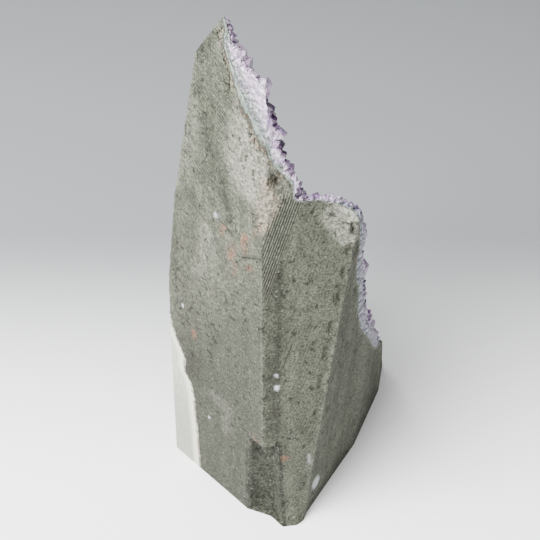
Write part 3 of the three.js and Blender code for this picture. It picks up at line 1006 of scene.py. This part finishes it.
# amethyst: clear purple points on milky quartz that is greenish next to the rind
quartzLook, tree, shader = newMaterial("amethyst, natural crystal faces")
place = addNode(tree, "TexCoord").outputs["Object"]
tip = readPaint(tree, "tip")
cell = addNode(tree, "TexVoronoi", {"Vector": place, "Scale": 1000 / 5.5}).outputs["Color"]
cellShade = addNode(tree, "SeparateColor", {"Color": cell}).outputs[0]
frost = speckle(tree, place, 1.6, 3)
facet = addNode(tree, "TexVoronoi", {"Vector": place, "Scale": 1000 / 1.9}, distance="MANHATTAN")
facetShade = addNode(tree, "SeparateColor", {"Color": facet.outputs["Color"]}).outputs
bed = readPaint(tree, "bed")
bedColour = cover(tree, hexColour("#87948d"), band(tree, bed, 0.1, 0.6), "#f8e9fb")
bedColour = cover(tree, bedColour, band(tree, facetShade[0], 0.15, 0.6, 0.5, 0.0), "#a68cb2")
lilac = times(tree, band(tree, bed, 0.35, 0.8, 0.0, 0.9), band(tree, facetShade[1], 0.25, 0.75))
bedColour = cover(tree, bedColour, lilac, "#a987b8")
grit = band(tree, speckle(tree, place, 0.9, 3, 0.8), 0.42, 0.55, 0.95, 0.0)
bedColour = cover(tree, bedColour, times(tree, grit, band(tree, bed, 0.3, 0.8, 1.0, 0.12)), "#4f5751")
# painted shade: the crust beside the dark cuts painted grey blue
bedColour = cover(tree, bedColour, times(tree, readPaint(tree, "paintedShade"), 0.8), "#767e8c")
purple = cover(tree, hexColour("#d9c3dd"), cellShade, "#85609a")
# the share of clear crystal over the milky bed, uneven with the frost
share = band(tree, reckon(tree, "ADD", tip, band(tree, frost, 0.35, 0.65, -0.3, 0.26)), 0.2, 1.0)
colour = mixColour(tree, share, bedColour, purple)
colour = cover(tree, colour, times(tree, readPaint(tree, "deep"), band(tree, share, 0.0, 0.5)), "#45284f")
tree.links.new(colour, shader.inputs["Base Color"])
tree.links.new(band(tree, share, 0.0, 1.0, 0.0, 0.6), shader.inputs["Transmission Weight"])
tree.links.new(band(tree, share, 0.0, 1.0, 0.42, 0.07), shader.inputs["Roughness"])
shader.inputs["IOR"].default_value = 1.544
bumpy = reckon(tree, "MULTIPLY_ADD", facet.outputs["Distance"], -1.0, times(tree, frost, 0.6))
bumpy = times(tree, bumpy, band(tree, share, 0.0, 0.7, 1.0, 0.16))
bump = addNode(tree, "Bump", {"Height": bumpy, "Strength": 1.0, "Distance": 0.0022})
tree.links.new(bump.outputs[0], shader.inputs["Normal"])
absorb = addNode(tree, "VolumeAbsorption", {"Color": hexColour("#b78ec2"), "Density": 50.0})
tree.links.new(absorb.outputs[0], tree.nodes["Material Output"].inputs["Volume"])

# agate, sawn but not polished: waxy white with faint bands and a rusty, pitted border
agateLook, tree, shader = newMaterial("white agate, sawn")
place = addNode(tree, "TexCoord").outputs["Object"]
border = readPaint(tree, "border")
clouds = speckle(tree, place, 3, 3)
wavyBorder = reckon(tree, "ADD", border, band(tree, clouds, 0.0, 1.0, -0.05, 0.05))
rings = addNode(tree, "TexWave", {
    "Vector": addNode(tree, "CombineXYZ", {0: wavyBorder}).outputs[0], "Scale": 2.4, "Distortion": 0.0},
    wave_type="BANDS", bands_direction="X").outputs["Fac"]
agateColour = cover(tree, hexColour("#8f9187"), readPaint(tree, "height"), "#a2a39a")
agateColour = cover(tree, agateColour, times(tree, rings, readPaint(tree, "banding")), "#bab9b0")
specks = band(tree, speckle(tree, place, 0.8, 3, 0.8), 0.50, 0.64, 0.0, 0.6)
agateColour = cover(tree, agateColour, specks, "#5e5e52")
creamBand = times(tree, band(tree, border, 0.02, 0.07), band(tree, border, 0.26, 0.12))
agateColour = cover(tree, agateColour, creamBand, "#c9c8ba")
rustyPits = band(tree, speckle(tree, place, 1.7, 3), 0.42, 0.52)
rustyPits = times(tree, band(tree, border, 0.02, 0.10, 1.0, 0.0), rustyPits)
agateColour = cover(tree, agateColour, rustyPits, "#4a3b2c")
agateColour = cover(tree, agateColour, readPaint(tree, "brown"), "#8a6444")
bump = addNode(tree, "Bump", {"Height": speckle(tree, place, 1.2, 3), "Strength": 0.4, "Distance": 0.0004})
tree.links.new(agateColour, shader.inputs["Base Color"])
tree.links.new(bump.outputs[0], shader.inputs["Normal"])
shader.inputs["Roughness"].default_value = 0.5

# agate: painted by its distance from the edge with the basalt, and by its height
agateEdge = ([-5, 16, 27, 37, 43.5, 48, 54, 59.5, 65, 75],
             [-1.3, -1.5, -2, -2.4, -3.6, -7, -6.2, -9, -12, -14.2])
spots = readPoints(agatePiece)
fromEdge = np.interp(spots[:, 2], *agateEdge) - (spots - middle) @ along["backLow"]
paint(agatePiece, "border", np.clip(fromEdge / 20, 0, 1))
paint(agatePiece, "height", smooth(spots[:, 2], 15, 60))
paint(agatePiece, "banding", smooth(spots[:, 2], 28, 48) * 0.6)
fromBrown = np.abs(depthBehind(["backLow"], spots) - 2.2)
paint(agatePiece, "brown", (1 - smooth(fromBrown, 0.5, 1.4)) * smooth(spots[:, 2], 42, 50) * 0.8)

addPiece(basaltPiece, basaltLook, "basalt_matrix")
addPiece(rindPiece, rindLook, "celadonite_rind")
addPiece(crustPiece, quartzLook, "amethyst_crust")
addPiece(agatePiece, agateLook, "agate_patch")
print("pieces dressed")
